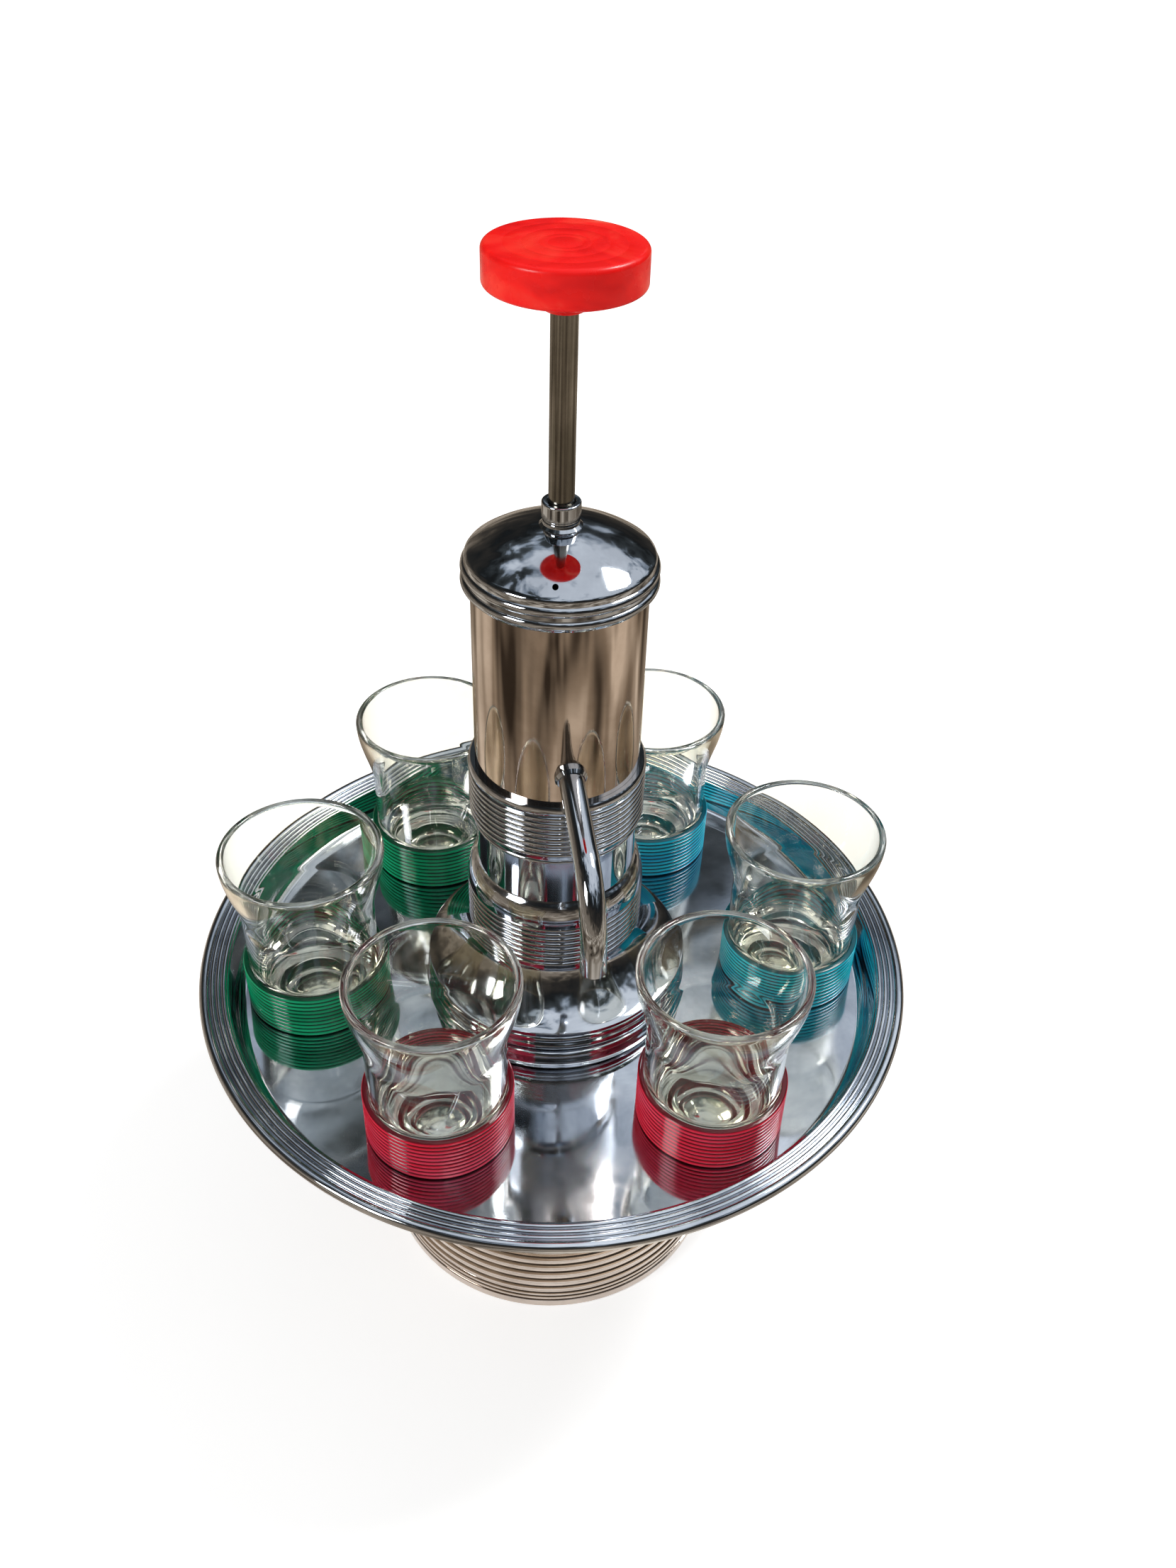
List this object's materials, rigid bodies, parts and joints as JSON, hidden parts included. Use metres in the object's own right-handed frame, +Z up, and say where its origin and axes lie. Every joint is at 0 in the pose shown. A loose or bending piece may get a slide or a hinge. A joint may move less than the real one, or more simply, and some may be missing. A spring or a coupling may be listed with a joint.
{
  "type": "party shot dispenser",
  "caption": "Chromed shot dispenser: ribbed reservoir base, turning tray of banded shot glasses, and a column with a curved spout and a red push knob that pumps out each measure.",
  "frame": {"origin": "on the table, on the centre line of the base, column and tray", "axes": "+Z up along the column; -Y towards the front, where the spout is, which points 9 degrees to +X of it; +X to the viewer's right"},
  "size_m": [0.24, 0.24, 0.3631],
  "materials": {
    "chrome": "bright nickel-chrome plate with fine wipe marks",
    "rod_nickel": "dull nickel, speckled with age",
    "knob_resin": "cast resin, red with lighter swirls, polished",
    "clear_glass": "clear pressed glass",
    "red_band": "translucent red plastic, ribbed",
    "blue_band": "translucent turquoise plastic, ribbed",
    "green_band": "translucent green plastic, ribbed",
    "felt": "wool felt",
    "tin_plate": "tinned steel sheet, dull",
    "brass": "turned brass, unplated",
    "steel": "plain steel",
    "nylon": "low-friction washer",
    "rubber": "soft black rubber",
    "cup_leather": "oiled cup leather"
  },
  "bodies": {
    "stand": {"felt_pad": "felt", "base_can": "chrome", "base_bottom": "tin_plate", "base_deck": "chrome", "neck_sleeve": "brass", "thrust_washer": "nylon", "hub_nut": "brass", "pedestal": "chrome", "pedestal_plate": "tin_plate", "column_tube": "chrome", "pump_cylinder": "brass", "valve_body": "brass", "pump_screws": "steel", "inlet_cage": "brass", "riser_pipe": "brass", "riser_elbow": "brass", "dip_tube": "brass", "strainer": "brass", "spout": "chrome", "spout_ferrule": "chrome", "return_spring": "steel"},
    "carousel": {"tray": "chrome", "tray_hub": "brass"},
    "glass_1": {"shot_glass_1": "clear_glass", "glass_band_1": "red_band"},
    "glass_2": {"shot_glass_2": "clear_glass", "glass_band_2": "red_band"},
    "glass_3": {"shot_glass_3": "clear_glass", "glass_band_3": "blue_band"},
    "glass_4": {"shot_glass_4": "clear_glass", "glass_band_4": "blue_band"},
    "glass_5": {"shot_glass_5": "clear_glass", "glass_band_5": "green_band"},
    "glass_6": {"shot_glass_6": "clear_glass", "glass_band_6": "green_band"},
    "cap": {"dome_cap": "chrome", "guide_collar": "chrome", "gland_nut": "steel", "rod_packing": "rubber"},
    "plunger": {"knob": "knob_resin", "plunger_rod": "rod_nickel", "stop_collar": "steel", "top_buffer": "rubber", "piston": "brass", "cup_seal": "cup_leather", "follower": "brass", "piston_nut": "steel"},
    "inlet_valve": {"inlet_ball": "steel"},
    "outlet_valve": {"outlet_ball": "steel"}
  },
  "joints": [
    {"name": "tray_spin", "type": "hinge", "parent": "stand", "child": "carousel", "pos_m": [0, 0, 0.1128], "axis": [0, 0, 1], "continuous": true},
    {"name": "glass_1_lift", "type": "slide", "parent": "carousel", "child": "glass_1", "axis": [0, 0, 1], "range_m": [0, 0.1]},
    {"name": "glass_2_lift", "type": "slide", "parent": "carousel", "child": "glass_2", "axis": [0, 0, 1], "range_m": [0, 0.1]},
    {"name": "glass_3_lift", "type": "slide", "parent": "carousel", "child": "glass_3", "axis": [0, 0, 1], "range_m": [0, 0.1]},
    {"name": "glass_4_lift", "type": "slide", "parent": "carousel", "child": "glass_4", "axis": [0, 0, 1], "range_m": [0, 0.1]},
    {"name": "glass_5_lift", "type": "slide", "parent": "carousel", "child": "glass_5", "axis": [0, 0, 1], "range_m": [0, 0.1]},
    {"name": "glass_6_lift", "type": "slide", "parent": "carousel", "child": "glass_6", "axis": [0, 0, 1], "range_m": [0, 0.1]},
    {"name": "cap_lift", "type": "slide", "parent": "stand", "child": "cap", "axis": [0, 0, 1], "range_m": [0, 0.08]},
    {"name": "plunger_press", "type": "slide", "parent": "cap", "child": "plunger", "axis": [0, 0, -1], "range_m": [0, 0.05], "stiffness_N_per_m": 90, "springref_m": -0.035, "deforming": ["return_spring"]},
    {"name": "inlet_ball_lift", "type": "slide", "parent": "stand", "child": "inlet_valve", "axis": [0, 0, 1], "range_m": [0, 0.0022]},
    {"name": "outlet_ball_lift", "type": "slide", "parent": "stand", "child": "outlet_valve", "axis": [0, 0, 1], "range_m": [0, 0.0014]}
  ]
}
